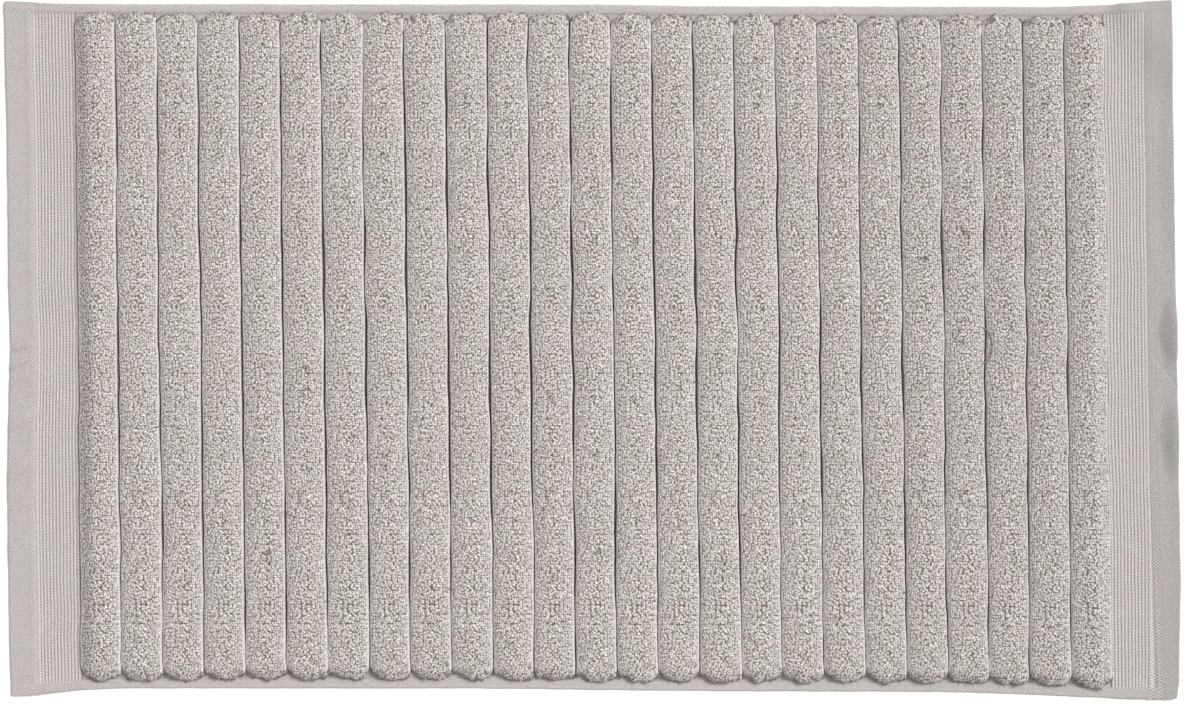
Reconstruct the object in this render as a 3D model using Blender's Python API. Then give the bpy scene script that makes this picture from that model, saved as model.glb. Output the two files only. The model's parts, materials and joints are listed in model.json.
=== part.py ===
"""A ribbed terry bath mat: woven ground cloth, raised pile ribs, corded end bands and sewn hems.

Metres, +Z up. The mat lies flat, pile up. Its ribs run along Y and follow each other along X, and the
origin is at the middle of the underside. The bare cloth in each groove is a hinge, so the mat rolls up
from its left end. Each moving strip hangs on an empty whose Y axis is its hinge's axis.
"""

import math

import bmesh
import bpy
from mathutils import Matrix, Vector

# The whole mat
MAT_LENGTH = 1.000  # along X, end hem to end hem
MAT_WIDTH = 0.585  # along Y, side hem to side hem, where the ribs are
END_FLARE = 0.009  # how much wider the mat is at its two ends
LEAN = 0.0065  # how far a rib's line drifts along -X from one side hem to the other

# Cloth and hems
CLOTH_THICKNESS = 0.002
HEM_THICKNESS = 0.0036  # the cloth folded under itself and pressed
END_HEM_WIDTH = 0.021
SIDE_HEM_WIDTH = 0.008
HEM_EDGE_RADIUS = 0.0011
HEM_NOTCH = 0.001  # how far a hem's top is set back at a hinge, so that it can close
LEFT_BAND_LENGTH = 0.040
RIGHT_BAND_LENGTH = 0.038

# Pile ribs
RIB_COUNT = 25
RIB_HEIGHT = 0.012
RIB_GROOVE = 0.0035  # bare cloth between the feet of two ribs
RIB_SHOULDER_RADIUS = 0.0115  # or less, where the rib is lower or narrower
RIB_END_GAP = 0.0005  # between a rib's end and the side hem

# Sewing thread of the end hems
THREAD_DIAMETER = 0.0009
SEAM_INSET = 0.003  # from the hem's inner edge
SEAM_END_INSET = 0.004  # from the mat's side edge

# Between pieces that touch
FIT_GAP = 0.0003

SHOULDER_SEGMENTS = 3
EDGE_SEGMENTS = 2
THREAD_RESOLUTION = 2

LEFT_END = -MAT_LENGTH / 2
LEFT_BAND_START = LEFT_END + END_HEM_WIDTH
RIBS_START = LEFT_BAND_START + LEFT_BAND_LENGTH
RIBS_END = MAT_LENGTH / 2 - END_HEM_WIDTH - RIGHT_BAND_LENGTH
RIB_PITCH = (RIBS_END - RIBS_START) / RIB_COUNT
RIB_LENGTH = MAT_WIDTH - 2 * (SIDE_HEM_WIDTH + RIB_END_GAP)
LEAN_ANGLE = math.atan2(LEAN, MAT_WIDTH)

COTTON = {
    "pile": ((0.52, 0.485, 0.46), 0.95),
    "ground": ((0.50, 0.47, 0.445), 0.9),
    "band": ((0.51, 0.475, 0.45), 0.85),
    "hem": ((0.53, 0.495, 0.47), 0.85),
    "thread": ((0.56, 0.525, 0.50), 0.7),
}


def clear_scene():
    for thing in list(bpy.data.objects):
        bpy.data.objects.remove(thing, do_unlink=True)


def make_material(name):
    colour, roughness = COTTON[name]
    material = bpy.data.materials.new(name)
    material.use_nodes = True
    shader = material.node_tree.nodes["Principled BSDF"]
    shader.inputs["Base Color"].default_value = (*colour, 1.0)
    shader.inputs["Roughness"].default_value = roughness
    shader.inputs["Metallic"].default_value = 0.0
    return material


def leaned_frame():
    """From the mat's square layout to a hinge's frame, whose Y axis runs along the leaning groove."""
    slope = LEAN / MAT_WIDTH
    shear = Matrix(((1, -slope, 0, 0), (0, 1, 0, 0), (0, 0, 1, 0), (0, 0, 0, 1)))
    return Matrix.Rotation(-LEAN_ANGLE, 4, "Z") @ shear


def add_box(bm, low, high):
    verts = bmesh.ops.create_cube(bm, size=1.0)["verts"]
    low, high = Vector(low), Vector(high)
    bmesh.ops.scale(bm, vec=high - low, verts=verts)
    bmesh.ops.translate(bm, vec=(low + high) / 2, verts=verts)
    bm.normal_update()


def half_width(along, flare_start, flare_end):
    """Half the mat's width at X = along, which grows from flare_start to flare_end."""
    share = (along - flare_start) / (flare_end - flare_start)
    return (MAT_WIDTH + END_FLARE * share) / 2


def finish_mesh(bm, name):
    """Leans the shape and makes it a mesh."""
    bmesh.ops.transform(bm, matrix=leaned_frame(), verts=bm.verts)
    bmesh.ops.recalc_face_normals(bm, faces=bm.faces)
    mesh = bpy.data.meshes.new(name)
    bm.to_mesh(mesh)
    bm.free()
    return mesh


def cloth_strip(name, start, end, flare=None):
    """Ground cloth from X = start to end, its top at Z 0, with its folded side hems.

    flare is the pair of X places between which the mat widens.
    """
    bm = bmesh.new()
    low = (start + FIT_GAP / 2, -MAT_WIDTH / 2, -CLOTH_THICKNESS)
    high = (end - FIT_GAP / 2, MAT_WIDTH / 2, 0.0)
    add_box(bm, low, high)
    hem_line = MAT_WIDTH / 2 - SIDE_HEM_WIDTH
    for side in (-1, 1):
        everything = [*bm.verts, *bm.edges, *bm.faces]
        place = (0, side * hem_line, 0)
        bmesh.ops.bisect_plane(bm, geom=everything, plane_co=place, plane_no=(0, 1, 0))
    hem_tops = [
        face
        for face in bm.faces
        if face.normal.z > 0.5 and abs(face.calc_center_median().y) > hem_line
    ]
    made = bmesh.ops.extrude_face_region(bm, geom=hem_tops)["geom"]
    bmesh.ops.delete(bm, geom=hem_tops, context="FACES_ONLY")
    middle = (start + end) / 2
    for vert in (item for item in made if isinstance(item, bmesh.types.BMVert)):
        vert.co.z = HEM_THICKNESS - CLOTH_THICKNESS
        vert.co.x += HEM_NOTCH if vert.co.x < middle else -HEM_NOTCH
    top = HEM_THICKNESS - CLOTH_THICKNESS
    folds = [
        edge
        for edge in bm.edges
        if all(abs(abs(vert.co.y) - MAT_WIDTH / 2) < FIT_GAP for vert in edge.verts)
        and (
            all(abs(vert.co.z - top) < FIT_GAP for vert in edge.verts)
            or all(abs(vert.co.z + CLOTH_THICKNESS) < FIT_GAP for vert in edge.verts)
        )
    ]
    bmesh.ops.bevel(
        bm, geom=folds, offset=HEM_EDGE_RADIUS, segments=EDGE_SEGMENTS, profile=0.5, affect="EDGES"
    )
    if flare:
        for vert in bm.verts:
            vert.co.y *= half_width(vert.co.x, *flare) / (MAT_WIDTH / 2)
    return finish_mesh(bm, name)


def end_hem(name, inner, outer, flare):
    """A folded hem from X = inner, its seam side, to X = outer, the mat's end."""
    bm = bmesh.new()
    toward_end = math.copysign(1, outer - inner)
    start = inner + toward_end * FIT_GAP / 2
    top = HEM_THICKNESS - CLOTH_THICKNESS
    low = (min(start, outer), -MAT_WIDTH / 2, -CLOTH_THICKNESS)
    high = (max(start, outer), MAT_WIDTH / 2, top)
    add_box(bm, low, high)
    folds = [
        edge for edge in bm.edges if any(abs(vert.co.x - start) > FIT_GAP for vert in edge.verts)
    ]
    bmesh.ops.bevel(
        bm, geom=folds, offset=HEM_EDGE_RADIUS, segments=EDGE_SEGMENTS, profile=0.5, affect="EDGES"
    )
    for vert in bm.verts:
        if abs(vert.co.x - start) < FIT_GAP:
            vert.co.x += toward_end * HEM_NOTCH * (vert.co.z + CLOTH_THICKNESS) / HEM_THICKNESS
        vert.co.y *= half_width(vert.co.x, *flare) / (MAT_WIDTH / 2)
    return finish_mesh(bm, name)


def pile_rib(name):
    """One rib of pile, standing on the cloth to the left of its hinge at X 0."""
    bm = bmesh.new()
    low = (-RIB_PITCH + RIB_GROOVE / 2, -RIB_LENGTH / 2, FIT_GAP)
    high = (-RIB_GROOVE / 2, RIB_LENGTH / 2, FIT_GAP + RIB_HEIGHT)
    add_box(bm, low, high)
    rounded = [
        edge for edge in bm.edges if any(vert.co.z > FIT_GAP + RIB_HEIGHT / 2 for vert in edge.verts)
    ]
    half_rib = (RIB_PITCH - RIB_GROOVE) / 2
    bmesh.ops.bevel(
        bm,
        geom=rounded,
        offset=min(RIB_SHOULDER_RADIUS, RIB_HEIGHT - FIT_GAP, half_rib - FIT_GAP),
        segments=SHOULDER_SEGMENTS,
        profile=0.5,
        affect="EDGES",
    )
    mesh = finish_mesh(bm, name)
    mesh.shade_smooth()
    return mesh


def place(name, mesh, material, collection, parent):
    piece = bpy.data.objects.new(name, mesh)
    if not mesh.materials:
        mesh.materials.append(material)
    collection.objects.link(piece)
    piece.parent = parent
    return piece


def add_hinge(name, collection, parent, along):
    """An empty on a groove's line, at the top of the cloth. along is its place from its parent's."""
    hinge = bpy.data.objects.new(name, None)
    hinge.empty_display_type = "SINGLE_ARROW"
    hinge.empty_display_size = RIB_HEIGHT
    collection.objects.link(hinge)
    hinge.parent = parent
    hinge.location = leaned_frame() @ Vector((along, 0, 0))
    return hinge


def add_seam(name, collection, parent, material, along, flare):
    """The sewing thread on an end hem, a round cord lying just above it at X = along."""
    radius = THREAD_DIAMETER / 2
    height = HEM_THICKNESS - CLOTH_THICKNESS + FIT_GAP + radius
    reach = half_width(along, *flare) - SEAM_END_INSET
    curve = bpy.data.curves.new(name, "CURVE")
    curve.dimensions = "3D"
    curve.bevel_depth = radius
    curve.bevel_resolution = THREAD_RESOLUTION
    curve.use_fill_caps = True
    line = curve.splines.new("POLY")
    line.points.add(1)
    for point, across in zip(line.points, (-reach, reach)):
        point.co = (*(leaned_frame() @ Vector((along, across, height))), 1.0)
    curve.materials.append(material)
    seam = bpy.data.objects.new(name, curve)
    collection.objects.link(seam)
    seam.parent = parent
    return seam


def build_right_end(collection, materials):
    """The band and hem that lie flat while the rest rolls up. Returns their empty."""
    base = bpy.data.objects.new("right_end", None)
    collection.objects.link(base)
    base.location = (RIBS_END, 0, CLOTH_THICKNESS)
    base.rotation_euler.z = LEAN_ANGLE
    reach = MAT_LENGTH / 2 - RIBS_END
    flare = (0.0, reach)
    band = cloth_strip("band_right", 0.0, RIGHT_BAND_LENGTH, flare)
    place("band_right", band, materials["band"], collection, base)
    hem = end_hem("hem_right", RIGHT_BAND_LENGTH, reach, flare)
    place("hem_right", hem, materials["hem"], collection, base)
    seam_place = RIGHT_BAND_LENGTH + SEAM_INSET
    add_seam("seam_right", collection, base, materials["thread"], seam_place, flare)
    return base


def build_strips(collection, materials, base):
    """One strip of cloth with its rib for each groove, from the right end to the left."""
    ground = cloth_strip("ground", -RIB_PITCH, 0.0)
    rib = pile_rib("rib")
    parent, step = base, 0.0
    for number in range(RIB_COUNT, 0, -1):
        parent = add_hinge(f"hinge_{number:02d}", collection, parent, step)
        place(f"ground_{number:02d}", ground, materials["ground"], collection, parent)
        place(f"rib_{number:02d}", rib, materials["pile"], collection, parent)
        step = -RIB_PITCH
    return parent


def build_left_end(collection, materials, last_hinge):
    """The free end: the corded band, then the hem, each on its own hinge."""
    reach = RIBS_START - LEFT_END
    band_hinge = add_hinge("hinge_band", collection, last_hinge, -RIB_PITCH)
    band = cloth_strip("band_left", -LEFT_BAND_LENGTH, 0.0, (0.0, -reach))
    place("band_left", band, materials["band"], collection, band_hinge)
    hem_hinge = add_hinge("hinge_hem", collection, band_hinge, -LEFT_BAND_LENGTH)
    flare = (LEFT_BAND_LENGTH, LEFT_BAND_LENGTH - reach)
    hem = end_hem("hem_left", 0.0, -END_HEM_WIDTH, flare)
    place("hem_left", hem, materials["hem"], collection, hem_hinge)
    add_seam("seam_left", collection, hem_hinge, materials["thread"], -SEAM_INSET, flare)


def main():
    clear_scene()
    collection = bpy.data.collections.new("bath_mat")
    bpy.context.scene.collection.children.link(collection)
    materials = {name: make_material(name) for name in COTTON}
    base = build_right_end(collection, materials)
    last_hinge = build_strips(collection, materials, base)
    build_left_end(collection, materials, last_hinge)
    bpy.context.view_layer.update()


main()
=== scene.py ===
import json
import math

import bpy
import numpy as np
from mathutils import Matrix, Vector


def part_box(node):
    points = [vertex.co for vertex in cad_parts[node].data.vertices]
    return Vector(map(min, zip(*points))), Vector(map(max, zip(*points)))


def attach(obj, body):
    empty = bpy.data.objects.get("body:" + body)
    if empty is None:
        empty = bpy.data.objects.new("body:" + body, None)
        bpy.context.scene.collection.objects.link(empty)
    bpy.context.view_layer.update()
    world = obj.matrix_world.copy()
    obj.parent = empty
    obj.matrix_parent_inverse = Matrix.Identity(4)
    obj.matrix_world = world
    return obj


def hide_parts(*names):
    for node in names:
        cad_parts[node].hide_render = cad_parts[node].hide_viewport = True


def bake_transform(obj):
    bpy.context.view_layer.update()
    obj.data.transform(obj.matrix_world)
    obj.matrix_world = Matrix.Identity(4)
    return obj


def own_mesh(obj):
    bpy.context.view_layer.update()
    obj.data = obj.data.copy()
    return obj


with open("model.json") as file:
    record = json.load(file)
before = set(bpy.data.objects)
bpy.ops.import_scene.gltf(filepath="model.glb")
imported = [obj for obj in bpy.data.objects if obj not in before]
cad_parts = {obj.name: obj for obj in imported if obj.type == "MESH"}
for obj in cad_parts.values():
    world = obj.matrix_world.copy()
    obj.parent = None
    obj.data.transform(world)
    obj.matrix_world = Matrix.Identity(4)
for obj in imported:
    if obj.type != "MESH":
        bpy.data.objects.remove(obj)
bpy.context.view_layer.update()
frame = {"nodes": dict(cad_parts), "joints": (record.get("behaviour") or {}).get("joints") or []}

print("frame loaded:", len(frame["nodes"]), "nodes")

# places that everything follows, read from the frame

joints = {joint["name"]: joint for joint in frame["joints"]}
ribCount = sum(name.startswith("rib_") for name in frame["nodes"])
ribsEnd = joints[f"roll_{ribCount:02d}"]["pos_m"][0]
ribsStart = joints["roll_band"]["pos_m"][0]
leftHemLine = joints["roll_hem"]["pos_m"][0]
hingeAxis = joints["roll_hem"]["axis"]
leanSlope = -hingeAxis[0] / hingeAxis[1]
ribPitch = (ribsEnd - ribsStart) / ribCount
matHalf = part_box("ground_13")[1][1]
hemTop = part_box("ground_13")[1][2]
ribFoot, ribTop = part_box("rib_01")[0][2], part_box("rib_01")[1][2]
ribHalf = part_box("rib_01")[1][1]
matEnd = -(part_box("hem_left")[0][0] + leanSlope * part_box("hem_left")[1][1])
rightHemLine = -leftHemLine

# How far each edge strays from the straight outline, outward or toward +X, in metres
outline = {
    "top": ((-0.50, 0.0030), (-0.46, 0.0010), (-0.40, 0.0005), (0.0, 0.0002), (0.10, -0.0013),
            (0.40, -0.0019), (0.45, 0.0), (0.50, 0.0030)),
    "bottom": ((-0.50, 0.0062), (-0.47, 0.0045), (-0.44, 0.0010), (-0.40, -0.0005), (-0.10, -0.0005),
               (0.05, 0.0014), (0.15, 0.0021), (0.30, 0.0026), (0.36, 0.0044), (0.42, 0.0071), (0.46, 0.0090),
               (0.50, 0.0086)),
    "left": ((-0.30, -0.0010), (-0.27, -0.0017), (-0.13, -0.0027), (-0.04, 0.0), (0.0, 0.0015),
             (0.05, 0.0005), (0.17, 0.0006), (0.29, -0.0008)),
    "right": ((-0.30, -0.0060), (-0.28, -0.0027), (-0.20, 0.0), (-0.15, -0.0004), (0.0, -0.0013),
              (0.17, -0.0020), (0.30, -0.0034)),
    "waver": 0.0009,  # how far the grooves wander from their straight lines
    "shift": -0.0015,  # and how far they all lie from the middle
}


def follow(points, places):
    at, values = zip(*points)
    return np.interp(places, at, values)


def smooth(values, low, high):
    share = np.clip((values - low) / (high - low), 0.0, 1.0)
    return share * share * (3 - 2 * share)


def softNoise(across, along, size, seed):
    # smooth noise from -1 to 1, with one random value every size metres
    values = np.random.default_rng(seed).uniform(-1, 1, (256, 256))
    u, v = across / size + 64.3, along / size + 64.7
    i, j = np.floor(u).astype(int), np.floor(v).astype(int)
    a, b = smooth(u - i, 0, 1), smooth(v - j, 0, 1)
    i, j, nextI, nextJ = i % 256, j % 256, (i + 1) % 256, (j + 1) % 256
    low = values[i, j] * (1 - a) + values[nextI, j] * a
    high = values[i, nextJ] * (1 - a) + values[nextI, nextJ] * a
    return low * (1 - b) + high * b


def layOut(points):
    # from the straight, square layout to the mat as it lies: leaning, wavy, with its uneven edges
    x, y, z = points.T
    edge = np.where(y > 0, follow(outline["top"], x), follow(outline["bottom"], x))
    reach = np.interp(np.abs(y), (0.16, 0.284, matHalf), (0.0, 0.85, 1.0))
    newY = y + np.sign(y) * edge * reach
    ends = (follow(outline["left"], y) * smooth(-x, -ribsStart, matEnd)
            + follow(outline["right"], y) * smooth(x, ribsEnd, matEnd))
    inside = 1 - smooth(np.abs(x), ribsEnd, matEnd)
    wander = softNoise(x, y, 0.045, 11) + 0.5 * softNoise(x, y, 0.018, 12)
    newX = x - leanSlope * y + ends + (outline["waver"] * wander + outline["shift"]) * inside
    return np.stack([newX, newY, z], axis=1)


def deselectAll():
    for thing in bpy.context.selected_objects:
        thing.select_set(False)


def onlyThis(piece):
    deselectAll()
    piece.select_set(True)
    bpy.context.view_layer.objects.active = piece


def places(piece):
    flat = np.empty(len(piece.data.vertices) * 3)
    piece.data.vertices.foreach_get("co", flat)
    return flat.reshape(-1, 3)


def setPlaces(piece, points):
    piece.data.vertices.foreach_set("co", np.asarray(points, float).ravel())
    piece.data.update()


def normals(piece):
    flat = np.empty(len(piece.data.vertices) * 3)
    piece.data.vertices.foreach_get("normal", flat)
    return flat.reshape(-1, 3)


def applyModifier(piece, kind, **settings):
    onlyThis(piece)
    modifier = piece.modifiers.new(kind.lower(), kind)
    for name, value in settings.items():
        setattr(modifier, name, value)
    bpy.ops.object.modifier_apply(modifier=modifier.name)


def addGrid(name, columns, rows):
    # a flat grid; its vertices run row by row, columns first
    deselectAll()
    bpy.ops.mesh.primitive_grid_add(x_subdivisions=columns - 1, y_subdivisions=rows - 1, size=2)
    piece = bpy.context.active_object
    piece.name = piece.data.name = name
    return piece


def setFlatMap(piece, across, along):
    # the cloth's own flat place, in metres, as a UV map
    layer = piece.data.uv_layers.active or piece.data.uv_layers.new(name="flat")
    layer.name = "flat"
    corners = np.empty(len(piece.data.loops), int)
    piece.data.loops.foreach_get("vertex_index", corners)
    layer.data.foreach_set("uv", np.stack([across[corners], along[corners]], axis=1).ravel())


def flatMap(piece):
    # the same map read back, one place for each vertex
    corners = np.empty(len(piece.data.loops), int)
    piece.data.loops.foreach_get("vertex_index", corners)
    flat = np.empty(len(piece.data.loops) * 2)
    piece.data.uv_layers["flat"].data.foreach_get("uv", flat)
    values = np.zeros((len(piece.data.vertices), 2))
    values[corners] = flat.reshape(-1, 2)
    return values.T


def setValues(piece, name, values):
    attribute = piece.data.attributes.new(name, "FLOAT", "POINT")
    attribute.data.foreach_set("value", values.astype(np.float32))


def copyOf(piece, name):
    twin = piece.copy()
    twin.data = piece.data.copy()
    twin.name = twin.data.name = name
    bpy.context.scene.collection.objects.link(twin)
    return twin


def faceOutwards(piece):
    onlyThis(piece)
    bpy.ops.object.mode_set(mode="EDIT")
    bpy.ops.mesh.select_all(action="SELECT")
    bpy.ops.mesh.normals_make_consistent(inside=False)
    bpy.ops.object.mode_set(mode="OBJECT")


def repeated(name, shapes, faces):
    # one object of many small shapes that all have the same faces
    step = len(shapes[0])
    allFaces = [tuple(corner + step * turn for corner in face)
                for turn in range(len(shapes)) for face in faces]
    mesh = bpy.data.meshes.new(name)
    mesh.from_pydata(np.concatenate(shapes).tolist(), [], allFaces)
    mesh.shade_smooth()
    piece = bpy.data.objects.new(name, mesh)
    bpy.context.scene.collection.objects.link(piece)
    return piece


def newGroup(name, inputs, outputs):
    group = bpy.data.node_groups.new(name, "ShaderNodeTree")
    for title, kind, value in inputs:
        socket = group.interface.new_socket(title, in_out="INPUT", socket_type=kind)
        if value is not None:
            socket.default_value = value
    for title, kind in outputs:
        group.interface.new_socket(title, in_out="OUTPUT", socket_type=kind)
    start = group.nodes.new("NodeGroupInput")
    finish = group.nodes.new("NodeGroupOutput")
    start.location, finish.location = (-900, 0), (700, 0)
    return group, start.outputs, finish.inputs


def feed(tree, made, sources):
    # each input gets a link from another node's socket, or its own plain value
    for socket, source in sources.items():
        if isinstance(source, bpy.types.NodeSocket):
            tree.links.new(source, made.inputs[socket])
        else:
            made.inputs[socket].default_value = source


def node(tree, kind, place, sources, **settings):
    made = tree.nodes.new("ShaderNode" + kind)
    made.location = place
    for name, value in settings.items():
        setattr(made, name, value)
    feed(tree, made, sources)
    return made


def mixed(tree, place, share, first, second, blend="MIX"):
    made = node(tree, "Mix", place, {}, data_type="RGBA", blend_type=blend)
    colours = [socket for socket in made.inputs if socket.type == "RGBA"]
    for socket, source in ((made.inputs[0], share), (colours[0], first), (colours[1], second)):
        if isinstance(source, bpy.types.NodeSocket):
            tree.links.new(source, socket)
        else:
            socket.default_value = source
    return [socket for socket in made.outputs if socket.type == "RGBA"][0]


# uneven dye, and how the shade drifts from the mat's left end to its right end
tint = {"pinkish": (1.026, 0.984, 0.990, 1), "greenish": (0.982, 1.006, 0.992, 1), "patches": 13.0,
        "spots": 52.0, "reach": 0.52,
        "drift": ((0.0, (0.900, 0.902, 0.915)), (0.07, (0.868, 0.868, 0.876)), (0.10, (0.985, 0.980, 0.982)),
                  (0.62, (1.0, 1.0, 1.0)), (0.91, (0.925, 0.942, 0.938)), (0.955, (0.83, 0.85, 0.85)),
                  (1.0, (0.63, 0.65, 0.655)))}


def makeTintGroup():
    # uneven dye: broad pinkish and greenish patches, and a slow drift along the mat
    group, given, wanted = newGroup(
        "cottonTint",
        [("Place", "NodeSocketVector", None), ("Colour", "NodeSocketColor", (0.5, 0.5, 0.5, 1)),
         ("Patches", "NodeSocketFloat", 1.0)],
        [("Colour", "NodeSocketColor")])
    broad = node(group, "TexNoise", (-650, 200),
                 {"Vector": given["Place"], "Scale": tint["patches"], "Detail": 2.0, "Roughness": 0.6})
    close = node(group, "TexNoise", (-650, -50),
                 {"Vector": given["Place"], "Scale": tint["spots"], "Detail": 3.0, "Roughness": 0.6})
    both = node(group, "Math", (-450, 100), {0: broad.outputs[0], 1: close.outputs[0]})
    spread = node(group, "MapRange", (-300, 100),
                  {"Value": both.outputs[0], "From Min": 0.78, "From Max": 1.22})
    hues = mixed(group, (-120, 100), spread.outputs[0], tint["pinkish"], tint["greenish"])
    tinted = mixed(group, (80, 100), given["Patches"], given["Colour"], hues, "MULTIPLY")
    split = node(group, "SeparateXYZ", (-650, -250), {0: given["Place"]})
    along = node(group, "MapRange", (-450, -250), {"Value": split.outputs["X"],
                                                  "From Min": -tint["reach"], "From Max": tint["reach"]})
    drift = node(group, "ValToRGB", (-250, -250), {"Fac": along.outputs[0]})
    stops = tint["drift"]
    while len(drift.color_ramp.elements) < len(stops):
        drift.color_ramp.elements.new(0.5)
    for element, (position, colour) in zip(drift.color_ramp.elements, stops):
        element.position = position
        element.color = (*colour, 1)
    drifted = node(group, "VectorMath", (300, 0), {0: tinted, 1: drift.outputs["Color"]},
                   operation="MULTIPLY")
    group.links.new(drifted.outputs[0], wanted["Colour"])
    return group


def makeFuzzGroup():
    # fine cotton fibre: a height and a lighter or darker shade
    group, given, wanted = newGroup(
        "yarnFuzz",
        [("Place", "NodeSocketVector", None), ("Size", "NodeSocketFloat", 1500.0)],
        [("Height", "NodeSocketFloat"), ("Shade", "NodeSocketFloat")])
    fine = node(group, "TexNoise", (-600, 100), {"Vector": given["Place"], "Scale": given["Size"],
                                                "Detail": 2.0, "Roughness": 0.5})
    shade = node(group, "MapRange", (-300, -50), {"Value": fine.outputs[0], "From Min": 0.32,
                                                 "From Max": 0.68, "To Min": 0.0, "To Max": 1.0})
    group.links.new(fine.outputs[0], wanted["Height"])
    group.links.new(shade.outputs[0], wanted["Shade"])
    return group


def makeLoopGroup():
    # terry loops on the pile's flat map: round tops with painted shade in the gaps between them
    group, given, wanted = newGroup(
        "terryLoops",
        [("Flat", "NodeSocketVector", None), ("Order", "NodeSocketFloat", 0.0),
         ("Across", "NodeSocketFloat", 1 / 0.0020), ("Along", "NodeSocketFloat", 1 / 0.00205)],
        [("Height", "NodeSocketFloat"), ("GapShade", "NodeSocketFloat"), ("Tone", "NodeSocketFloat")])
    stray = node(group, "TexNoise", (-850, -250), {"Vector": given["Flat"], "Scale": 330.0,
                                                  "Detail": 1.0})
    centred = node(group, "VectorMath", (-680, -250), {0: stray.outputs["Color"], 1: (0.5, 0.5, 0.5)},
                   operation="SUBTRACT")
    strayed = node(group, "VectorMath", (-520, -100), {0: centred.outputs[0], 1: (0.0012, 0.0016, 0.0),
                                                      2: given["Flat"]}, operation="MULTIPLY_ADD")
    counts = node(group, "CombineXYZ", (-520, -300), {0: given["Across"], 1: given["Along"]})
    counted = node(group, "VectorMath", (-360, -100), {0: strayed.outputs[0], 1: counts.outputs[0]},
                   operation="MULTIPLY")
    loose = node(group, "MapRange", (-520, 150), {"Value": given["Order"], "To Min": 0.90,
                                                 "To Max": 0.62})
    cells = node(group, "TexVoronoi", (-180, 100), {"Vector": counted.outputs[0], "Scale": 1.0,
                                                   "Randomness": loose.outputs[0]},
                 voronoi_dimensions="2D")
    height = node(group, "MapRange", (60, 100), {"Value": cells.outputs["Distance"], "From Min": 0.1,
                                                "From Max": 0.70, "To Min": 1.0, "To Max": 0.0},
                  interpolation_type="SMOOTHSTEP")
    gapShade = node(group, "MapRange", (60, -150), {"Value": cells.outputs["Distance"], "From Min": 0.32,
                                              "From Max": 0.70, "To Min": 0.0, "To Max": 1.0},
               interpolation_type="SMOOTHSTEP")
    split = node(group, "SeparateColor", (60, -400), {0: cells.outputs["Color"]})
    group.links.new(height.outputs[0], wanted["Height"])
    group.links.new(gapShade.outputs[0], wanted["GapShade"])
    group.links.new(split.outputs[0], wanted["Tone"])
    return group


def makeWeaveGroup():
    # plain weave on the cloth's flat map: over and under by turns, with threads of uneven width and painted
    # shade in the gaps between them
    group, given, wanted = newGroup(
        "plainWeave",
        [("Flat", "NodeSocketVector", None), ("Across", "NodeSocketFloat", 0.0011),
         ("Along", "NodeSocketFloat", 0.0009)],
        [("Height", "NodeSocketFloat"), ("GapShade", "NodeSocketFloat")])
    uneven = node(group, "TexNoise", (-800, -250), {"Vector": given["Flat"], "Scale": 160.0,
                                                   "Detail": 1.0})
    centred = node(group, "Math", (-650, -250), {0: uneven.outputs[0], 1: 0.5}, operation="SUBTRACT")
    split = node(group, "SeparateXYZ", (-800, 100), {0: given["Flat"]})
    waves = []
    for axis, pitch, low in (("X", "Across", 150), ("Y", "Along", -50)):
        strayed = node(group, "Math", (-480, low), {0: centred.outputs[0], 1: 0.0022,
                                                   2: split.outputs[axis]}, operation="MULTIPLY_ADD")
        turns = node(group, "Math", (-320, low), {0: strayed.outputs[0], 1: given[pitch]},
                     operation="DIVIDE")
        angle = node(group, "Math", (-180, low), {0: turns.outputs[0], 1: math.tau / 2},
                     operation="MULTIPLY")
        waves.append(node(group, "Math", (-40, low), {0: angle.outputs[0]}, operation="SINE"))
    both = node(group, "Math", (120, 100), {0: waves[0].outputs[0], 1: waves[1].outputs[0]},
                operation="MULTIPLY")
    height = node(group, "MapRange", (260, 100), {"Value": both.outputs[0], "From Min": -1.0,
                                                 "From Max": 1.0})
    gapShade = node(group, "MapRange", (420, -50), {"Value": both.outputs[0], "From Min": 0.3,
                                              "From Max": -0.8, "To Min": 0.0, "To Max": 1.0})
    group.links.new(height.outputs[0], wanted["Height"])
    group.links.new(gapShade.outputs[0], wanted["GapShade"])
    return group


groups = {"tint": makeTintGroup(), "fuzz": makeFuzzGroup(), "loops": makeLoopGroup(),
          "weave": makeWeaveGroup()}


def placeGroup(tree, key, place, **sources):
    made = node(tree, "Group", place, {}, node_tree=groups[key])
    feed(tree, made, sources)
    return made.outputs


def newCotton(name, look):
    # the start of every cotton material: its shader with the plain values set on the sockets
    material = bpy.data.materials.new(name)
    material.use_nodes = True
    tree = material.node_tree
    shader = tree.nodes["Principled BSDF"]
    shader.inputs["Roughness"].default_value = look["roughness"]
    shader.inputs["Sheen Weight"].default_value = look["sheen"]
    shader.inputs["Sheen Roughness"].default_value = 0.6
    shader.inputs["Specular IOR Level"].default_value = 0.15
    spot = node(tree, "TexCoord", (-1100, 200), {})
    return material, tree, shader, spot


def darkened(tree, colour, amount, share, place):
    # colour taken down by share where amount is 1, a little less in red, as cotton's shadows are warm
    deep = (1 - 0.95 * share, 1 - share, 1 - 1.03 * share, 1)
    return mixed(tree, place, amount, colour, deep, "MULTIPLY")


pileLook = {"colour": (0.918, 0.890, 0.867, 1), "roughness": 0.95, "sheen": 0.2, "depth": 0.42,
            "gapShade": 0.80, "tone": 0.18, "fuzz": 0.62, "fibre": 640.0, "bump": 0.8}


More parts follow.
